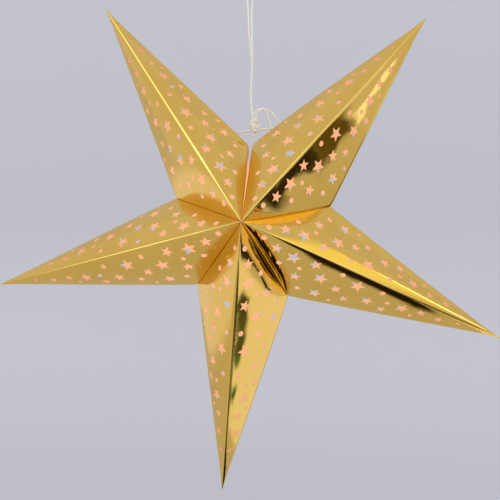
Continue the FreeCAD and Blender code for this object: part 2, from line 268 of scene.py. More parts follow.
def route_line(name, route):
    """The points of a cord's smooth line, along a spline with the route's control points."""
    data = bpy.data.curves.new(f"{name}_route", "CURVE")
    data.dimensions = "3D"
    data.resolution_u = ROUTE_RESOLUTION
    spline = data.splines.new("NURBS")
    spline.points.add(len(route) - 1)
    for point, place in zip(spline.points, route):
        point.co = (*(Vector(place) * MM), 1.0)
    spline.order_u = 3
    spline.use_endpoint_u = True
    holder = bpy.data.objects.new(f"{name}_route", data)
    mesh = bpy.data.meshes.new_from_object(holder)
    line = np.array([vertex.co[:] for vertex in mesh.vertices])
    bpy.data.objects.remove(holder)
    bpy.data.meshes.remove(mesh)
    return line


def spaced_along(line, step):
    """The line's points again, evenly spaced."""
    run = np.concatenate([[0], np.cumsum(np.linalg.norm(np.diff(line, axis=0), axis=1))])
    places = np.linspace(0, run[-1], round(run[-1] / step) + 1)
    return np.column_stack([np.interp(places, run, line[:, axis]) for axis in range(3)])


def carried_frames(line):
    """Two square directions at each point of a line, turned as little as possible along it."""
    heading = np.gradient(line, axis=0)
    heading /= np.linalg.norm(heading, axis=1)[:, None]
    across = unit(np.cross(heading[0], START_ACROSS))
    first = []
    for way in heading:
        across = square_to(across, way)
        first.append(across)
    first = np.array(first)
    return first, np.cross(heading, first)


def tube(line, radius, sides):
    """A closed tube around a line: its points and faces."""
    first, second = carried_frames(line)
    turns = np.linspace(0, 2 * math.pi, sides, endpoint=False)
    ring = (np.cos(turns)[None, :, None] * first[:, None]
            + np.sin(turns)[None, :, None] * second[:, None])
    points = (line[:, None] + radius * ring).reshape(-1, 3)
    faces = []
    for i in range(len(line) - 1):
        for j in range(sides):
            k = (j + 1) % sides
            faces.append((i * sides + j, i * sides + k, (i + 1) * sides + k, (i + 1) * sides + j))
    faces.append(tuple(range(sides))[::-1])
    faces.append(tuple((len(line) - 1) * sides + j for j in range(sides)))
    return points, faces


def joined(parts):
    """Several meshes' points and faces as one."""
    points, faces, count = [], [], 0
    for part_points, part_faces in parts:
        points.append(part_points)
        faces += [tuple(index + count for index in face) for face in part_faces]
        count += len(part_points)
    return np.vstack(points), faces


def twisted(line, start_turn=0.0):
    """Strands laid up around a line."""
    line = spaced_along(line, STRAND_STEP)
    first, second = carried_frames(line)
    run = np.arange(len(line)) * np.linalg.norm(line[1] - line[0])
    strands = []
    for strand in range(STRANDS):
        turn = start_turn + 2 * math.pi * (run / TWIST + strand / STRANDS)
        out = np.cos(turn)[:, None] * first + np.sin(turn)[:, None] * second
        strands.append(tube(line + STRAND_ORBIT * out, STRAND, STRAND_SIDES))
    return joined(strands)


def smooth_piece(name, points, faces, material):
    """A smooth-shaded object of one material."""
    mesh = bpy.data.meshes.new(name)
    mesh.from_pydata(points.tolist(), [], faces)
    mesh.polygons.foreach_set("use_smooth", np.ones(len(mesh.polygons), dtype=bool))
    mesh.materials.append(material)
    piece = bpy.data.objects.new(name, mesh)
    bpy.context.scene.collection.objects.link(piece)
    return piece


def cord(name, route):
    """One cord of twisted string in place of its CAD solid."""
    line = route_line(name, route)
    piece = smooth_piece(f"{name}_string", *twisted(line), STRING)
    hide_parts(name)
    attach(piece, "root")


CORE_RINGS, CORE_STEPS = 10, 16
NEXT_TWIST = 1.7             # how much further round each line of a knot starts its twist


def knot_core(centre, radii):
    """The plain rounded lump under a knot's turns, given in mm: its points and faces."""
    points, faces = [], []
    for ring in range(CORE_RINGS + 1):
        polar = math.pi * ring / CORE_RINGS
        for step in range(CORE_STEPS):
            turn = 2 * math.pi * step / CORE_STEPS
            points.append((centre[0] + radii[0] * math.sin(polar) * math.cos(turn),
                           centre[1] + radii[1] * math.sin(polar) * math.sin(turn),
                           centre[2] + radii[2] * math.cos(polar)))
    for ring in range(CORE_RINGS):
        for step in range(CORE_STEPS):
            a, b = ring * CORE_STEPS + step, ring * CORE_STEPS + (step + 1) % CORE_STEPS
            faces.append((a, a + CORE_STEPS, b + CORE_STEPS, b))
    return np.array(points) * MM, faces


def wound_knot(node, lines, cores):
    """A knot of string turns laid over plain cores, in place of its CAD solid."""
    turns = [twisted(np.array(line) * MM, NEXT_TWIST * number) for number, line in enumerate(lines)]
    lumps = [knot_core(centre, radii) for centre, radii in cores]
    piece = smooth_piece(f"{node}_turns", *joined(turns + lumps), STRING)
    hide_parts(node)
    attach(piece, "root")
    return piece


WINDING_STEPS = 36           # points to each turn of a winding
WINDING_END = 0.72           # a winding's radius at its ends, as a share of that in its middle
KNOT_STEP = 0.6              # spacing of the points of a knot's free lines, in mm


def winding(centre, radii, height, turns, start=0.0, tilt=(0.0, 0.0)):
    """A line wound round an upright axis from the top down, fuller at its middle height."""
    line = []
    steps = round(WINDING_STEPS * turns)
    for step in range(steps + 1):
        share = step / steps
        angle = start + 2 * math.pi * turns * share
        full = WINDING_END + (1 - WINDING_END) * math.sin(math.pi * share)
        x, y = radii[0] * full * math.cos(angle), -radii[1] * full * math.sin(angle)
        z = height * (0.5 - share) + tilt[0] * x + tilt[1] * y
        line.append((centre[0] + x, centre[1] + y, centre[2] + z))
    return line


def bow_knot():
    """A broad band of turns, an eye standing out on its right, and a round turn under it.

    All its figures are in mm, apart from the turns, their start angles and the tilts.
    """
    band = winding((4.3, 0.6, -176.6), (4.9, 4.3), 7.4, 3.4, start=2.2, tilt=(0.12, 0.0))
    eye = [(2.6, -3.9, -174.2), (5.6, -5.0, -172.9), (8.9, -4.4, -173.4), (10.6, -2.6, -176.0),
           (10.3, -1.6, -179.2), (8.2, -2.8, -181.2), (5.6, -4.4, -181.3), (3.4, -4.6, -179.8)]
    foot = winding((5.2, -0.4, -183.2), (3.3, 3.2), 3.8, 2.2, start=0.4, tilt=(-0.35, 0.25))
    front = [(3.0, -2.6, -180.6), (3.8, -4.5, -182.8), (6.0, -4.6, -185.2), (7.4, -2.2, -186.4)]
    return wound_knot("bow_knot", [band, spaced_along(np.array(eye), KNOT_STEP), foot,
                                   spaced_along(np.array(front), KNOT_STEP)],
                      [((4.7, 0.6, -176.8), (5.0, 4.3, 4.4)),
                       ((5.2, -0.2, -183.2), (3.7, 3.6, 3.4))])


def stopper_knot(node):
    """An overhand knot: two and a half turns around the cord."""
    low, high = (np.array(corner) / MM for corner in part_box(node))
    centre = (low + high) / 2
    turns = winding(centre, (2.9, 2.9), 3.6, 2.5, start=1.0, tilt=(0.4, 0.3))
    return wound_knot(node, [turns], [(centre, (3.1, 3.1, 2.8))])


KNOTS = {name: stopper_knot(name) for name in ("stopper_knot_left", "stopper_knot_right")}
KNOTS["bow_knot"] = bow_knot()
cord("hanging_cord", HANGING_ROUTE)
cord("tie_cord_left", TIE_LEFT_ROUTE)
cord("tie_cord_right", TIE_RIGHT_ROUTE)
cord("bow_loop", BOW_ROUTE)
cord("loose_end", LOOSE_ROUTE)


# ---------------------------------------------------------------- folded card

CARD = 0.5 * MM              # thickness of the card
RIDGE_ROUND = 1.3 * MM       # tangent length of the ridge's rounding
SIDE_ROUND = 4.0 * MM        # tangent length of the soft side fold's rounding
SEAM_ROUND = 1.1 * MM        # tangent length of the fold from a panel to its glue flange
RIDGE_LIMIT = 0.2            # a rounding's largest share of the panel's width
SIDE_LIMIT = 0.35
FOLD_STEPS = np.linspace(0, 1, 5)    # places across a fold's rounding
FLANGE_WIDTH = 8.0 * MM
FLANGE_FULL = 14.2 * MM      # distance from the star's axis where a flange has its full width
FLANGE_LEAN = 0.02           # how far glued flanges part, as a slope
FLANGE_ROWS = (0.3, 0.65, 1.0)       # places across a flange, beyond its fold
FINE = 2.4 * MM              # spacing of the mesh's points
FIRST_ROW = 1.0 * MM         # spacing of the rows beside the seam
ROW_GROWTH = 1.06            # how much wider each spacing is than the one before, up to FINE
LAST_ROW = 1.4               # the last spacing is up to this many times the one before
SLIVER = 0.002 * MM          # triangles lower than this are no part of the card
SEAM_SLANT = 1.15            # the seam's length over the panel's width square to the ridge
CAD_WELD = 0.002 * MM        # points of the solids nearer than this are one
CARD_WELD = 0.005 * MM       # and those of the panels made here
ON_FACE = 0.02 * MM          # how far a point of a flat face may lie off it
ROUND_HOLE = 0.9             # least over largest radius of a hole that is a round one
DOT_SIDES = 24
HOLE_STEP = 1.6 * MM         # spacing of points along a hole's edges
HOLE_MARGIN = 0.7 * MM       # no point of the panel's grid lies nearer to a hole
NEAR_TIP = 1e-6              # as close to the tip as a share across the panel is worked out


def seam_number(number, side):
    """The seam on one side of a point, counted clockwise from the open one."""
    return (number + (1 if side > 0 else 0)) % len(ARMS)


def even_corners(number, side, face):
    """Apex, valley corner and tip of one panel of the even star."""
    along, across = arm_directions(number)
    valley = CENTRE + VALLEY_ALONG * along + side * VALLEY_ACROSS * across
    return CENTRE + face * HALF_DEPTH * DEPTH, valley, TIPS[number]


def bent_corners(number, side, face):
    """The same corners with the folder's small errors."""
    apex, valley, tip = even_corners(number, side, face)
    return (bent(apex, APEX_BEND), bent(valley, VALLEY_BENDS[seam_number(number, side)]),
            bent(tip, TIP_BENDS[number]))


class Panel:
    """One of the four triangular panels of a point."""

    def __init__(self, number, side, face):
        self.number, self.side, self.face = number, side, face
        self.corners = bent_corners(number, side, face)
        self.even_apex, valley, tip = even_corners(number, side, face)
        ridge = tip - self.even_apex
        self.length = np.linalg.norm(ridge)
        self.along = ridge / self.length
        edge = valley - self.even_apex
        self.valley_along = edge @ self.along
        out = edge - self.valley_along * self.along
        self.valley_out = np.linalg.norm(out)
        self.out = out / self.valley_out
        normal = np.cross(self.along, self.out)
        self.normal = normal if normal[1] * face > 0 else -normal

    def flat(self, places):
        """(along the ridge, out from it) of places near the even panel."""
        offsets = places - self.even_apex
        return np.column_stack([offsets @ self.along, offsets @ self.out])

    def shares(self, flat):
        """(s, t): s from the ridge to the side, t from the seam to the tip."""
        reach = flat[:, 1] / self.valley_out
        t = (flat[:, 0] - reach * self.valley_along) / self.length
        return reach / np.maximum(1 - t, NEAR_TIP), t

    def from_shares(self, s, t):
        """The flat places of such shares."""
        return np.column_stack([(1 - t) * s * self.valley_along + t * self.length,
                                (1 - t) * s * self.valley_out])

    def own(self, table):
        """This panel's entry in a table of each point's anticlockwise and clockwise panels."""
        return table[ARMS[self.number]][0 if self.side < 0 else 1]

    def back_apex(self):
        """The apex on the star's other face."""
        return bent_corners(self.number, self.side, -self.face)[0]


def open_edges(triangles):
    """The directed edges that no neighbouring triangle shares."""
    edges = dict.fromkeys((int(a), int(b)) for triangle in triangles
                          for a, b in zip(triangle, np.roll(triangle, -1)))
    return [(a, b) for a, b in edges if (b, a) not in edges]


def weld(points, triangles, distance):
    """Joins the points that fall together, and drops the triangles that this flattens."""
    _, first, back = np.unique(np.round(points / distance), axis=0, return_index=True,
                               return_inverse=True)
    triangles = back.ravel()[triangles]
    a, b, c = triangles.T
    return points[first], triangles[(a != b) & (b != c) & (a != c)]


def cut_out_loops(panel, points, triangles):
    """Outlines of the holes in a CAD panel's outer face, as flat places."""
    height = (points - panel.even_apex) @ panel.normal
    on_face = np.all(np.abs(height[triangles]) < ON_FACE, axis=1)
    onward = dict(open_edges(triangles[on_face]))
    loops = []
    while onward:
        start, follower = onward.popitem()
        loop = [start]
        while follower != start:
            loop.append(follower)
            follower = onward.pop(follower)
        loops.append(panel.flat(points[loop]))
    loops.sort(key=lambda loop: -np.ptp(loop, axis=0).max())
    return loops[1:]         # the first is the panel's own outline


def cad_surface(node):
    """A CAD solid's points, each once, and its triangles."""
    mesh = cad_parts[node].data
    mesh.calc_loop_triangles()
    triangles = np.empty(len(mesh.loop_triangles) * 3, dtype=np.int64)
    mesh.loop_triangles.foreach_get("vertices", triangles)
    return weld(node_points(node), triangles.reshape(-1, 3), CAD_WELD)


def refined(loop):
    """A hole's outline with short edges: a round hole is drawn again as a circle."""
    centre = (loop.max(axis=0) + loop.min(axis=0)) / 2
    radii = np.linalg.norm(loop - centre, axis=1)
    if radii.min() > ROUND_HOLE * radii.max():
        turns = np.linspace(0, 2 * math.pi, DOT_SIDES, endpoint=False)
        return centre + radii.max() * np.column_stack([np.cos(turns), np.sin(turns)])
    points = []
    for start, end in zip(loop, np.roll(loop, -1, axis=0)):
        pieces = max(1, round(np.linalg.norm(end - start) / HOLE_STEP))
        for step in range(pieces):
            points.append(start + (end - start) * step / pieces)
    return np.array(points)


def inside(points, loop):
    """Which flat points lie inside a closed outline."""
    x, y = points[:, 0][:, None], points[:, 1][:, None]
    x0, y0 = loop[:, 0][None], loop[:, 1][None]
    x1, y1 = np.roll(loop[:, 0], -1)[None], np.roll(loop[:, 1], -1)[None]
    spans = (y0 > y) != (y1 > y)
    rise = np.where(y1 == y0, TINY, y1 - y0)
    return (np.sum(spans & (x < (x1 - x0) * (y - y0) / rise + x0), axis=1) % 2) == 1


def near(points, loop, gap):
    """Which flat points lie closer than `gap` to an outline's edges."""
    close = np.zeros(len(points), dtype=bool)
    for start, end in zip(loop, np.roll(loop, -1, axis=0)):
        edge = end - start
        share = np.clip(((points - start) @ edge) / (edge @ edge), 0, 1)
        close |= np.linalg.norm(points - start - share[:, None] * edge, axis=1) < gap
    return close


def panel_rows(panel):
    """Shares t of the panel's rows, closer together beside the seam."""
    slope = panel.valley_out / math.hypot(panel.valley_along, panel.valley_out)
    rounded = SEAM_ROUND * FOLD_STEPS / slope
    distance = panel.length - rounded[-1]
    rest, step = [0.0], FIRST_ROW
    while rest[-1] + LAST_ROW * step < distance:
        rest.append(rest[-1] + step)
        step = min(step * ROW_GROWTH, FINE)
    return np.concatenate([rounded[:-1], rounded[-1] + np.array(rest)]) / panel.length


def row_columns(width):
    """Shares s across a row: fine at the ridge's rounding and at the side's."""
    ridge = FOLD_STEPS * min(RIDGE_ROUND, RIDGE_LIMIT * width)
    side = FOLD_STEPS[::-1] * min(SIDE_ROUND, SIDE_LIMIT * width)
    middle = width - side[0] - ridge[-1]
    steps = max(1, round(middle / FINE))
    between = ridge[-1] + middle * np.arange(1, steps) / steps
    return np.concatenate([ridge, between, width - side]) / width


def panel_grid(panel):
    """A panel's flat points in rows from the seam to the tip, and its outline's indices."""
    points, ridge, side, seam = [], [], [], []
    for row, t in enumerate(panel_rows(panel)):
        columns = row_columns((1 - t) * panel.valley_out * SEAM_SLANT)
        ridge.append(len(points))
        points += list(panel.from_shares(columns, np.full(len(columns), t)))
        side.append(len(points) - 1)
        if row == 0:
            seam = list(range(1, len(points) - 1))
    tip = len(points)
    points.append(np.array([panel.length, 0.0]))
    return np.array(points), ridge + [tip] + side[::-1] + seam[::-1]


def around(points, hole):
    """Indices of the flat points in a box that holds a hole."""
    offsets = np.abs(points - hole.mean(axis=0))
    return np.flatnonzero(np.all(offsets < np.ptp(hole, axis=0).max(), axis=1))


TO_MM = 1000                 # the triangulation works in mm
ONLY_INSIDE = 1              # it returns the triangles inside the outline alone
SAME_POINT = 1e-6


def triangulated(panel, holes):
    """Flat points and triangles of a panel with its holes left open."""
    grid, outline = panel_grid(panel)
    drop = np.zeros(len(grid), dtype=bool)
    for hole in holes:
        some = around(grid, hole)
        drop[some] |= inside(grid[some], hole) | near(grid[some], hole, HOLE_MARGIN)
    drop[outline] = False
    keep = np.flatnonzero(~drop)
    renumber = {old: new for new, old in enumerate(keep)}
    edges = [(renumber[a], renumber[b]) for a, b in zip(outline, outline[1:] + outline[:1])]
    count = len(keep)
    for hole in holes:
        edges += [(count + i, count + (i + 1) % len(hole)) for i in range(len(hole))]
        count += len(hole)
    points = np.vstack([grid[keep], *holes])
    answer = delaunay_2d_cdt([Vector(p * TO_MM) for p in points], edges, [],
                             ONLY_INSIDE, SAME_POINT, False)
    flat = np.array([tuple(v) for v in answer[0]]) / TO_MM
    triangles = np.array(answer[2])
    middles = flat[triangles].mean(axis=1)
    solid = np.ones(len(triangles), dtype=bool)
    for hole in holes:
        some = around(middles, hole)
        solid[some] &= ~inside(middles[some], hole)
    a, b, c = (flat[triangles[:, i]] for i in range(3))
    (b_along, b_out), (c_along, c_out) = (b - a).T, (c - a).T
    double_area = np.abs(b_along * c_out - b_out * c_along)
    longest = np.maximum.reduce([np.linalg.norm(b - a, axis=1), np.linalg.norm(c - b, axis=1),
                                 np.linalg.norm(a - c, axis=1)])
    return flat, triangles[solid & (double_area > SLIVER * longest)]


# How far each panel springs out, in front as behind, in mm: at its middle, and how much more
# towards its side fold. First the anticlockwise panel of a point, then the clockwise one.
BULGE = {"star_point_top_right": ((6.8, -0.9), (-2.6, -0.15)),
         "star_point_right": ((2.9, -6.15), (2.5, -0.75)),
         "star_point_bottom": ((5.4, 3.15), (5.9, 0.45)),
         "star_point_left": ((9.7, -0.45), (5.4, 1.2)),
         "star_point_top_left": ((5.1, -1.95), (4.7, -4.65))}
# How far a side fold bows out in the star's plane, and how strongly a panel rolls over at its
# seam, in mm, in the same order.
SIDE_BOW = {"star_point_top_right": (2.8, 0.0), "star_point_right": (-1.0, 0.3),
            "star_point_bottom": (1.2, 0.4), "star_point_left": (0.8, 0.6),
            "star_point_top_left": (0.0, 0.4)}
SEAM_ROLL = {"star_point_top_right": (0.0, 0.0), "star_point_right": (1.5, 1.5),
             "star_point_bottom": (0.4, 0.0), "star_point_left": (0.0, 0.0),
             "star_point_top_left": (0.0, 0.0)}
# How far the seams sink in between the apex and the valley, clockwise from the top one, in mm.
SEAM_SAG = [3.0, 5.5, 6.5, 5.5, 5.5]
RIDGE_SPAN = 0.33            # share of the ridge over which the folds by a seam draw in
ROLL_REACH = 0.06            # share of the ridge's length where the roll is highest
BULGE_GATHER = 0.11          # share of the ridge's length in which a bulge fades at the seam
BOW_SKEW = 0.6               # under 1, a side fold bows out most nearer its valley
SAG_PEAK = 27 / 4            # brings the largest value of (1 - x) ** 2 * x to 1
WAVE_HEIGHT = 0.16 * MM      # the foil's slight unevenness
WAVE_LENGTH = 26.0 * MM      # along the ridge
WAVE_BREADTH = 0.6 * WAVE_LENGTH
RIPPLE_HEIGHT = 0.4          # smaller waves on the first, as shares of their height
RIPPLE_SCALE = 2.3           # and as many times shorter
WAVE_SEEDS = (7.0, 3.0, 1.5)         # set the waves of a point, a side and a face apart
RIDGE_FADE, SIDE_FADE, SEAM_FADE, TIP_FADE = 1 / 4, 1 / 5, 1 / 8, 1 / 3   # shares to fade in


def bulge(panel, s, t):
    """How far the card springs out from its flat panel."""
    middle, lean = panel.own(BULGE)
    height = (middle + lean * (2 * s - 1)) * (1 - t) * (1 - np.exp(-t / BULGE_GATHER))
    height += panel.own(SEAM_ROLL) * t / ROLL_REACH * np.exp(1 - t / ROLL_REACH)
    return height * 4 * s * (1 - s) * MM


def sag(panel, s, t):
    """How far the card sinks in towards its seam."""
    out = np.minimum(s + t / RIDGE_SPAN, 1)
    depth = SEAM_SAG[seam_number(panel.number, panel.side)] * MM
    return depth * SAG_PEAK * (1 - out) ** 2 * s


def waves(panel, flat, s, t):
    """Small smooth dents and swellings, which fade out at the folds."""
    seed = np.dot(WAVE_SEEDS, (panel.number, panel.side, panel.face))
    height = []
    for x, y in flat:
        wave = noise.noise(Vector((x / WAVE_LENGTH, y / WAVE_BREADTH, seed)))
        ripple = noise.noise(Vector((RIPPLE_SCALE * x / WAVE_LENGTH,
                                     RIPPLE_SCALE * y / WAVE_LENGTH, -seed)))
        height.append(wave + RIPPLE_HEIGHT * ripple)
    fade = (np.clip(s / RIDGE_FADE, 0, 1) * np.clip((1 - s) / SIDE_FADE, 0, 1)
            * np.clip(t / SEAM_FADE, 0, 1) * np.clip((1 - t) / TIP_FADE, 0, 1))
    return WAVE_HEIGHT * np.array(height) * fade


def rounding(distance, reach, own, mate):
    """Where a fold's curve lies, from its sharp corner, at a distance before the corner.

    Distances below zero are past the corner, on the mate's side.
    """
    turn = np.clip((reach - distance) / (2 * reach), 0, 1)
    return ((1 - turn) ** 2 * reach)[:, None] * own + (turn ** 2 * reach)[:, None] * mate


def folded(distance, reach, own, mate):
    """How far places move where a fold's curve stands for its sharp corner."""
    curve = rounding(distance, reach, own, mate)
    return np.where((distance < reach)[:, None], curve - distance[:, None] * own, 0)


def seam_frame(panel):
    """The seam's unit line, the ways into the panel and into its flange, and the mitre."""
    apex, valley, tip = panel.corners
    back_apex = panel.back_apex()
    line = unit(valley - apex)
    own = square_to(tip - apex, line)
    inward = square_to(back_apex - apex, line)
    mate = unit(inward + FLANGE_LEAN * square_to(own, inward))
    middle = (apex + back_apex) / 2
    half_corner = math.acos(unit(apex - valley) @ unit(middle - valley))
    return line, own, mate, 1 / math.tan(half_corner)


def shaped(panel, flat):
    """The panel's places in space: bent, bulged, and rounded over at the folds."""
    apex, valley, tip = panel.corners
    s, t = panel.shares(flat)
    base = ((1 - t) * (1 - s))[:, None] * apex + ((1 - t) * s)[:, None] * valley + t[:, None] * tip
    normal = unit(np.cross(tip - apex, valley - apex))
    if normal @ panel.normal < 0:
        normal = -normal
    away = square_to(panel.side * arm_directions(panel.number)[1], unit(tip - valley))
    bow = panel.own(SIDE_BOW) * MM * s ** 2 * np.sin(math.pi * np.clip(t, 0, 1) ** BOW_SKEW)
    base += bow[:, None] * away
    base -= sag(panel, s, t)[:, None] * panel.face * DEPTH
    places = base + (bulge(panel, s, t) + waves(panel, flat, s, t))[:, None] * normal
    # the folds to the next panels, at the ridge and at the side
    width = (1 - t) * np.linalg.norm(valley - apex)
    other_valley = bent_corners(panel.number, -panel.side, panel.face)[1]
    for corner, share, mate_corner, tangent, limit in (
            (apex, s, other_valley, RIDGE_ROUND, RIDGE_LIMIT),
            (valley, 1 - s, panel.back_apex(), SIDE_ROUND, SIDE_LIMIT)):
        line = unit(tip - corner)
        inward = (valley if corner is apex else apex) - corner
        own = square_to(inward, line)
        mate = square_to(mate_corner - corner, line)
        distance = share * width * (own @ unit(inward))
        places += folded(distance, np.minimum(tangent, limit * width) + TINY, own, mate)
    # and the fold to the glue flange, at the seam
    _, own, mate, _ = seam_frame(panel)
    return places + folded(t * ((tip - apex) @ own), np.full(len(t), SEAM_ROUND), own, mate)


def flange(panel):
    """The glue flange along the panel's seam: its places, row by row, and its triangles."""
    apex, valley, _ = panel.corners
    columns = row_columns(panel.valley_out * SEAM_SLANT)
    edge = shaped(panel, panel.from_shares(columns, np.zeros(len(columns))))
    line, own, mate, mitre = seam_frame(panel)
    radius = columns * np.linalg.norm(valley - (apex + panel.back_apex()) / 2)
    width = np.interp(radius, [0, FLANGE_FULL], [SEAM_ROUND, FLANGE_WIDTH])
    start = rounding(np.zeros(1), np.full(1, SEAM_ROUND), own, mate)[0]
    rows = [edge]
    for depth in SEAM_ROUND * FOLD_STEPS[1:]:
        turned = rounding(np.array([-depth]), np.full(1, SEAM_ROUND), own, mate)[0] - start
        rows.append(edge + turned - (columns * depth * mitre)[:, None] * line)
    for share in FLANGE_ROWS:
        depth = SEAM_ROUND + share * (width - SEAM_ROUND)
        rows.append(edge + depth[:, None] * mate - start
                    - (columns * depth * mitre)[:, None] * line)
    for row in rows[1:]:
        row[-1, 1] = CENTRE[1]       # the flange ends on the star's middle plane
    count = len(columns)
    triangles = []
    for row in range(len(rows) - 1):
        for column in range(count - 1):
            a = row * count + column
            triangles += [(a, a + 1, a + count), (a + 1, a + count + 1, a + count)]
    return np.vstack(rows), np.array(triangles)


def crosses(points, triangles):
    """Each triangle's normal, as long as twice its area."""
    a, b, c = (points[triangles[:, i]] for i in range(3))
    return np.cross(b - a, c - a)


def arm_surface(number):
    """A folded card's outer surface, with its panels and flanges joined: points, triangles."""
    cad = cad_surface(ARMS[number])
    across = arm_directions(number)[1]
    places, faces, count = [], [], 0
    for face in (-1, 1):
        for side in (-1, 1):
            panel = Panel(number, side, face)
            holes = [refined(loop) for loop in cut_out_loops(panel, *cad)]
            flat, triangles = triangulated(panel, holes)
            for spots, sheet, outward in ((shaped(panel, flat), triangles, panel.normal),
                                          (*flange(panel), across * side)):
                if crosses(spots, sheet).sum(axis=0) @ outward < 0:
                    sheet = sheet[:, ::-1]
                faces.append(sheet + count)
                places.append(spots)
                count += len(spots)
    return weld(np.vstack(places), np.vstack(faces), CARD_WELD)


def point_normals(points, triangles):
    """The surface's unit normal at each point."""
    normals = np.zeros_like(points)
    for column in range(3):
        np.add.at(normals, triangles[:, column], crosses(points, triangles))
    return normals / np.maximum(np.linalg.norm(normals, axis=1), TINY)[:, None]


def edge_keys(pairs, count):
    """One number for each pair of `count` points, in either order."""
    pairs = np.sort(pairs, axis=1)
    return pairs[:, 0] * count + pairs[:, 1]


def build_arm(number):
    """One folded card: foil outside, paper inside, and the cut edges between them."""
    node = ARMS[number]
    outer, faces = arm_surface(number)
    inner = outer - CARD * point_normals(outer, faces)
    count = len(outer)
    rim = np.array(open_edges(faces))
    walls = np.column_stack([rim[:, ::-1], rim + count])
    mesh = bpy.data.meshes.new(f"{node}_card")
    mesh.from_pydata(np.vstack([outer, inner]).tolist(), [],
                     faces.tolist() + (faces[:, ::-1] + count).tolist() + walls.tolist())
    material = np.repeat([0, 1, 2], [len(faces), len(faces), len(walls)]).astype(np.int32)
    mesh.polygons.foreach_set("material_index", material)
    mesh.polygons.foreach_set("use_smooth", material < 2)
    for made in (FOIL, LINING, CUT_EDGE):
        mesh.materials.append(made)
    ends = np.empty(2 * len(mesh.edges), dtype=np.int64)
    mesh.edges.foreach_get("vertices", ends)
    sharp = np.isin(edge_keys(ends.reshape(-1, 2), 2 * count),
                    edge_keys(np.vstack([rim, rim + count]), 2 * count))
    mesh.attributes.new("sharp_edge", "BOOLEAN", "EDGE").data.foreach_set("value", sharp)
    mesh.update()
    piece = bpy.data.objects.new(f"{node}_card", mesh)
    bpy.context.scene.collection.objects.link(piece)
    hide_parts(node)
    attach(piece, "root")


def foil_material():
    """Gold foil pressed on card: a mirror with the card's grain in it, and faint handling marks."""
    material, tree, shader = new_material("gold_foil")
    shader.inputs["Metallic"].default_value = 1.0
    mottle(tree, shader, (0.90, 0.575, 0.115), (0.94, 0.62, 0.14), scale=14.0, detail=3.0)
    marks = spread(tree, noise_node(tree, scale=45.0, detail=4.0), 0.03, 0.08)
    tree.links.new(marks, shader.inputs["Roughness"])
    bump(tree, shader, noise_node(tree, scale=420.0, detail=2.0), 0.013 * MM)
    return material


def from_centre(tree):
    """Distance from the star's centre, in metres."""
    place = tree.nodes.new("ShaderNodeTexCoord").outputs["Object"]
    node = tree.nodes.new("ShaderNodeVectorMath")
    node.operation = "DISTANCE"
    node.inputs[1].default_value = tuple(CENTRE)
    tree.links.new(place, node.inputs[0])
    return node.outputs["Value"]


GLOW_REACH = (0.06, 0.30)    # metres from the star's centre, and the strength of the lining's painted glow there, which dims towards the tips
GLOW = (0.36, 0.22)


def lining_material():
    """The card's peach paper side, with a painted glow that stands in for the light that comes
    through it.
    """
    material, tree, shader = new_material("peach_lining_painted_glow")
    mottle(tree, shader, (0.70, 0.45, 0.33), (0.78, 0.54, 0.42), scale=260.0, detail=4.0)
    shader.inputs["Roughness"].default_value = 0.85
    shader.inputs["Specular IOR Level"].default_value = 0.2
    # painted glow: an emission that stands in for the light on the paper, dimmer towards the tips
    # as painted shade
    shader.inputs["Emission Color"].default_value = (1.0, 0.72, 0.43, 1.0)
    glow = map_range(tree, from_centre(tree), GLOW_REACH, GLOW)
    tree.links.new(glow, shader.inputs["Emission Strength"])
    bump(tree, shader, noise_node(tree, scale=700.0, detail=3.0), 0.05 * MM)
    return material


def edge_material():
    """The card's cut edge: pale fibres."""
    material, tree, shader = new_material("cut_card_edge")
    mottle(tree, shader, (0.66, 0.46, 0.30), (0.82, 0.62, 0.44), scale=900.0, detail=2.0)
    shader.inputs["Roughness"].default_value = 0.9
    return material


FOIL = foil_material()
LINING = lining_material()
CUT_EDGE = edge_material()

for arm in range(len(ARMS)):
    build_arm(arm)

# ---------------------------------------------------------------- stage and light

FLOOR_Z = -0.95
WALL_Y = 1.6
SWEEP_REACH = 4.0            # the backdrop's reach to each side, forward and up
SWEEP_RADIUS = 0.8           # of its curve from the floor to the wall
SWEEP_STEPS = 12
ROOM_DIFFUSE = 1.0           # the room's light on the object
ROOM_SEEN = (0.64, 0.64, 0.68, 1.0)  # the room as the camera and the foil see it


def math_node(tree, operation, *values):
    """What an arithmetic node makes of some values, each a number or a socket."""
    node = tree.nodes.new("ShaderNodeMath")
    node.operation = operation
    for socket, value in zip(node.inputs, values):
        if isinstance(value, (int, float)):
            socket.default_value = value
        else:
            tree.links.new(value, socket)
    return node.outputs[0]


def seen_ray(tree):
    """1 for the rays that look at the stage: camera, glossy and transmission rays."""
    path = tree.nodes.new("ShaderNodeLightPath")
    looks = math_node(tree, "ADD", path.outputs["Is Camera Ray"], path.outputs["Is Glossy Ray"])
    looks = math_node(tree, "ADD", looks, path.outputs["Is Transmission Ray"])
    return math_node(tree, "MINIMUM", looks, 1.0)


def mix_shaders(tree, share, first, second, output):
    """Ends a node tree with a mixture of two shaders."""
    mix = tree.nodes.new("ShaderNodeMixShader")
    for value, socket in zip((share, first.outputs[0], second.outputs[0]), mix.inputs):
        tree.links.new(value, socket)
    tree.links.new(mix.outputs[0], tree.nodes[output].inputs["Surface"])


def stage_material():
    """A pale matt wall."""
    material, tree, shader = new_material("pale_backdrop")
    shader.inputs["Base Color"].default_value = (0.63, 0.63, 0.68, 1.0)
    shader.inputs["Roughness"].default_value = 1.0
    shader.inputs["Specular IOR Level"].default_value = 0.0
    return material


def stage_piece(name, points, faces, material):
    """A mesh that belongs to the stage."""
    mesh = bpy.data.meshes.new(name)
    mesh.from_pydata(points, [], faces)
    mesh.materials.append(material)
    piece = bpy.data.objects.new(name, mesh)
    bpy.context.scene.collection.objects.link(piece)
    return piece


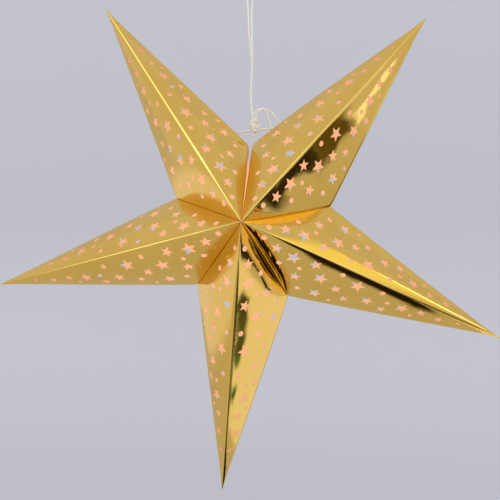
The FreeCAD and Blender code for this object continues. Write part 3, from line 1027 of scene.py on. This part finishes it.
def sweep():
    """A pale floor that curves up into a wall behind the lantern."""
    profile = [(-SWEEP_REACH, FLOOR_Z)]
    for turn in np.linspace(0, math.pi / 2, SWEEP_STEPS + 1):
        profile.append((WALL_Y - SWEEP_RADIUS * (1 - math.sin(turn)),
                        FLOOR_Z + SWEEP_RADIUS * (1 - math.cos(turn))))
    profile.append((WALL_Y, SWEEP_REACH))
    points = [(x, y, z) for y, z in profile for x in (-SWEEP_REACH, SWEEP_REACH)]
    faces = [(2 * i, 2 * i + 1, 2 * i + 3, 2 * i + 2) for i in range(len(profile) - 1)]
    piece = stage_piece("backdrop", points, faces, stage_material())
    for polygon in piece.data.polygons:
        polygon.use_smooth = True


def card_material(name, colour, soft):
    """A plain studio card whose edges fade out over a share of its width and height."""
    material, tree, shader = new_material(name)
    tree.nodes.remove(shader)
    place = tree.nodes.new("ShaderNodeTexCoord")
    split = tree.nodes.new("ShaderNodeSeparateXYZ")
    tree.links.new(place.outputs["UV"], split.inputs[0])
    cover = 1.0
    for axis, width in enumerate(soft):
        far = math_node(tree, "SUBTRACT", 1.0, split.outputs[axis])
        edge = math_node(tree, "MINIMUM", split.outputs[axis], far)
        fade = tree.nodes.new("ShaderNodeMapRange")
        fade.interpolation_type = "SMOOTHSTEP"
        fade.inputs["From Max"].default_value = width
        tree.links.new(edge, fade.inputs["Value"])
        cover = math_node(tree, "MULTIPLY", cover, fade.outputs["Result"])
    shine = tree.nodes.new("ShaderNodeEmission")
    shine.inputs["Color"].default_value = (*colour, 1.0)
    clear = tree.nodes.new("ShaderNodeBsdfTransparent")
    mix_shaders(tree, cover, clear, shine, "Material Output")
    return material


def card(name, corners, colour, soft):
    """A card that only the foil's reflections see: four corners, in metres."""
    piece = stage_piece(name, corners, [(0, 1, 2, 3)], card_material(name, colour, soft))
    layer = piece.data.uv_layers.new(name="card")
    for loop, place in zip(layer.data, rectangle((0, 0), (1, 1))):
        loop.uv = place
    for kind in ("camera", "diffuse", "transmission", "volume_scatter", "shadow"):
        setattr(piece, f"visible_{kind}", False)


def rectangle(first, opposite):
    """The corners of a card with square sides, from two of them."""
    (a, b), (c, d) = first, opposite
    return [(a, b), (c, b), (c, d), (a, d)]


def level(z, corners):
    """Corners (x, y) at one height."""
    return [(x, y, z) for x, y in corners]


def facing_x(x, corners):
    """Corners (y, z) in a plane square to X."""
    return [(x, y, z) for y, z in corners]


def facing_y(y, corners):
    """Corners (x, z) in a plane square to Y."""
    return [(x, y, z) for x, z in corners]


def room():
    """An even pale room, which lights the object more brightly than it looks."""
    world = bpy.data.worlds.new("pale_room")
    bpy.context.scene.world = world
    world.use_nodes = True
    tree = world.node_tree
    seen = tree.nodes["Background"]
    seen.inputs["Color"].default_value = ROOM_SEEN
    lights = tree.nodes.new("ShaderNodeBackground")
    lights.inputs["Color"].default_value = (1.0, 1.0, 1.0, 1.0)
    lights.inputs["Strength"].default_value = ROOM_DIFFUSE
    mix_shaders(tree, seen_ray(tree), lights, seen, "World Output")


# what the cards show the foil
BLACK = (0.018, 0.013, 0.007)
SHADE = (0.030, 0.024, 0.012)
OLIVE = (0.07, 0.085, 0.03)
AMBER = (0.11, 0.085, 0.02)
GREEN = (0.06, 0.17, 0.07)
BROWN = (0.15, 0.12, 0.06)
DUSK = (0.78, 0.78, 0.95)
COOL = (0.86, 0.88, 1.05)
CREAM = (1.0, 1.0, 0.60)
PALE = (1.0, 1.1, 1.3)
FROST = (1.1, 1.2, 1.5)
HAZE = (1.15, 1.30, 1.75)
GLARE = (1.5, 1.7, 2.2)
FLASH = (2.2, 2.4, 2.8)

MAT_Z = FLOOR_Z + 0.02       # the plane of the cards on the floor, and of those that stand
NEAR_RIGHT, MID_RIGHT, FAR_RIGHT = 0.36, 0.62, 1.5
LEFT = FRONT = -1.3
APART = 0.005                # between the planes of cards that overlap

sweep()
room()
# The dark cards lie and stand low on the right, where the foil shows them as the dark bands of
# the top right, right and bottom points. The bright ones stand beyond, above and in front.
card("dark_mat", level(MAT_Z, [(0.10, -1.3), (0.45, -1.3), (0.42, -0.16), (-0.05, -0.16)]),
     BLACK, (0.16, 0.06))
card("dark_mat_end",
     level(MAT_Z + 0.002, [(-0.05, -0.40), (0.36, -0.40), (0.29, 0.10), (-0.07, -0.14)]),
     BLACK, (0.12, 0.24))
card("dark_foot", level(MAT_Z, rectangle((0.42, -1.3), (0.75, -0.245))), BROWN, (0.02, 0.03))
card("green_foot", level(MAT_Z, rectangle((0.42, -0.25), (0.80, -0.125))), GREEN, (0.02, 0.2))
card("dark_back", level(MAT_Z, rectangle((0.85, -0.10), (1.5, 0.50))), SHADE, (0.05, 0.30))
card("dark_side",
     facing_x(MID_RIGHT, [(-0.7, MAT_Z), (-0.15, MAT_Z), (-0.172, -0.64), (-0.7, -0.64)]),
     OLIVE, (0.02, 0.05))
card("dark_side_top", facing_x(MID_RIGHT, rectangle((-0.7, -0.66), (-0.12, -0.46))),
     OLIVE, (0.02, 0.08))
card("bright_side",
     facing_x(NEAR_RIGHT, [(-0.122, MAT_Z), (0.25, MAT_Z), (0.25, -0.445), (-0.143, -0.445)]),
     COOL, (0.04, 0.08))
card("dark_far", facing_x(FAR_RIGHT, [(0.10, -1.06), (0.29, -1.06), (0.29, -0.60), (-0.03, -0.60)]),
     SHADE, (0.14, 0.15))
card("olive_far",
     facing_x(FAR_RIGHT - APART, [(0.00, -0.70), (0.29, -0.70), (0.29, -0.44), (-0.06, -0.44)]),
     AMBER, (0.16, 0.32))
card("glare_far",
     facing_x(FAR_RIGHT - 2 * APART, [(-0.03, -0.48), (0.06, -0.48), (0.14, -0.20), (0.02, -0.20)]),
     HAZE, (0.25, 0.15))
card("bright_far", facing_x(FAR_RIGHT, [(-1.6, 0.10), (0.12, 0.10), (0.03, 1.5), (-1.6, 1.5)]),
     CREAM, (0.01, 0.35))
card("glare_edge",
     facing_x(FAR_RIGHT - 2 * APART, [(-0.12, 0.10), (0.22, 0.10), (0.12, 0.90), (0.04, 0.90)]),
     FLASH, (0.3, 0.2))
card("bright_left", facing_x(LEFT, rectangle((1.0, MAT_Z), (-0.3, -0.35))), DUSK, (0.1, 0.2))
card("front_light", facing_y(FRONT, rectangle((-2.2, -0.27), (0.5, 1.60))), GLARE, (0.1, 0.05))
card("front_right", facing_y(FRONT, rectangle((0.5, -0.27), (2.2, 1.60))), PALE, (0.1, 0.05))
card("front_low", facing_y(FRONT - 0.02, rectangle((-1.0, MAT_Z), (0.12, -0.25))),
     FROST, (0.05, 0.05))
card("front_dark", facing_y(FRONT, rectangle((0.14, MAT_Z), (0.8, -0.36))), BLACK, (0.1, 0.1))

bpy.context.scene.view_settings.view_transform = "Standard"
